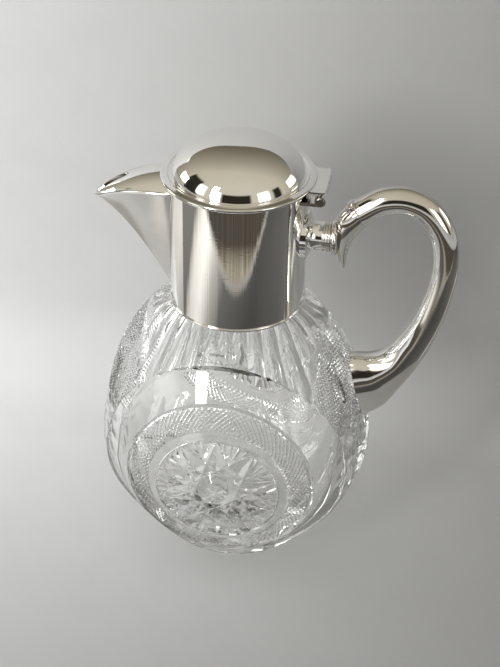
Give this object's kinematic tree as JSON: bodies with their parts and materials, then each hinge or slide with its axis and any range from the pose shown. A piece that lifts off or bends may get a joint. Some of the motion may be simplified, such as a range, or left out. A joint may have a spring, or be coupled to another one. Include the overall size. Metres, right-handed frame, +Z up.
{
  "type": "claret jug",
  "caption": "Cut-glass claret jug with a silver-plated collar, covered pouring spout, C-shaped handle and domed lid hinged on the handle side.",
  "frame": {"origin": "middle of the flat glass foot that the jug stands on", "axes": "+Z up the jug; +X towards the handle and the hinge, -X towards the spout; the two round medallions face -Y and +Y"},
  "size_m": [0.1687, 0.11, 0.2236],
  "materials": {
    "cut_glass": "clear lead crystal, mitre-cut and polished",
    "silver_plate": "polished silver plate with fine wear",
    "plaster": "set plaster of Paris, matt, hidden in the mount",
    "pin_steel": "drawn nickel silver wire, ends filed flush"
  },
  "bodies": {
    "jug": {"glass_body": "cut_glass", "collar_plaster": "plaster", "collar_sleeve": "silver_plate", "collar_foot_ring": "silver_plate", "collar_rim_ring": "silver_plate", "spout_beak": "silver_plate", "spout_hood": "silver_plate", "spout_rim_wire_front": "silver_plate", "spout_rim_wire_back": "silver_plate", "collar_hinge_leaf": "silver_plate", "hinge_pin": "pin_steel", "handle_escutcheon": "silver_plate", "handle_collet": "silver_plate", "handle_knop": "silver_plate", "handle_heel": "silver_plate", "handle_band": "silver_plate", "handle_arm": "silver_plate", "handle_plaster": "plaster"},
    "lid": {"lid_dome": "silver_plate", "lid_flange": "silver_plate", "lid_bezel": "silver_plate", "lid_hinge_leaf": "silver_plate"}
  },
  "joints": [
    {"name": "lid_hinge", "type": "hinge", "parent": "jug", "child": "lid", "pos_m": [0.038, 0, 0.2027], "axis": [0, 1, 0], "range_deg": [0, 100]}
  ]
}
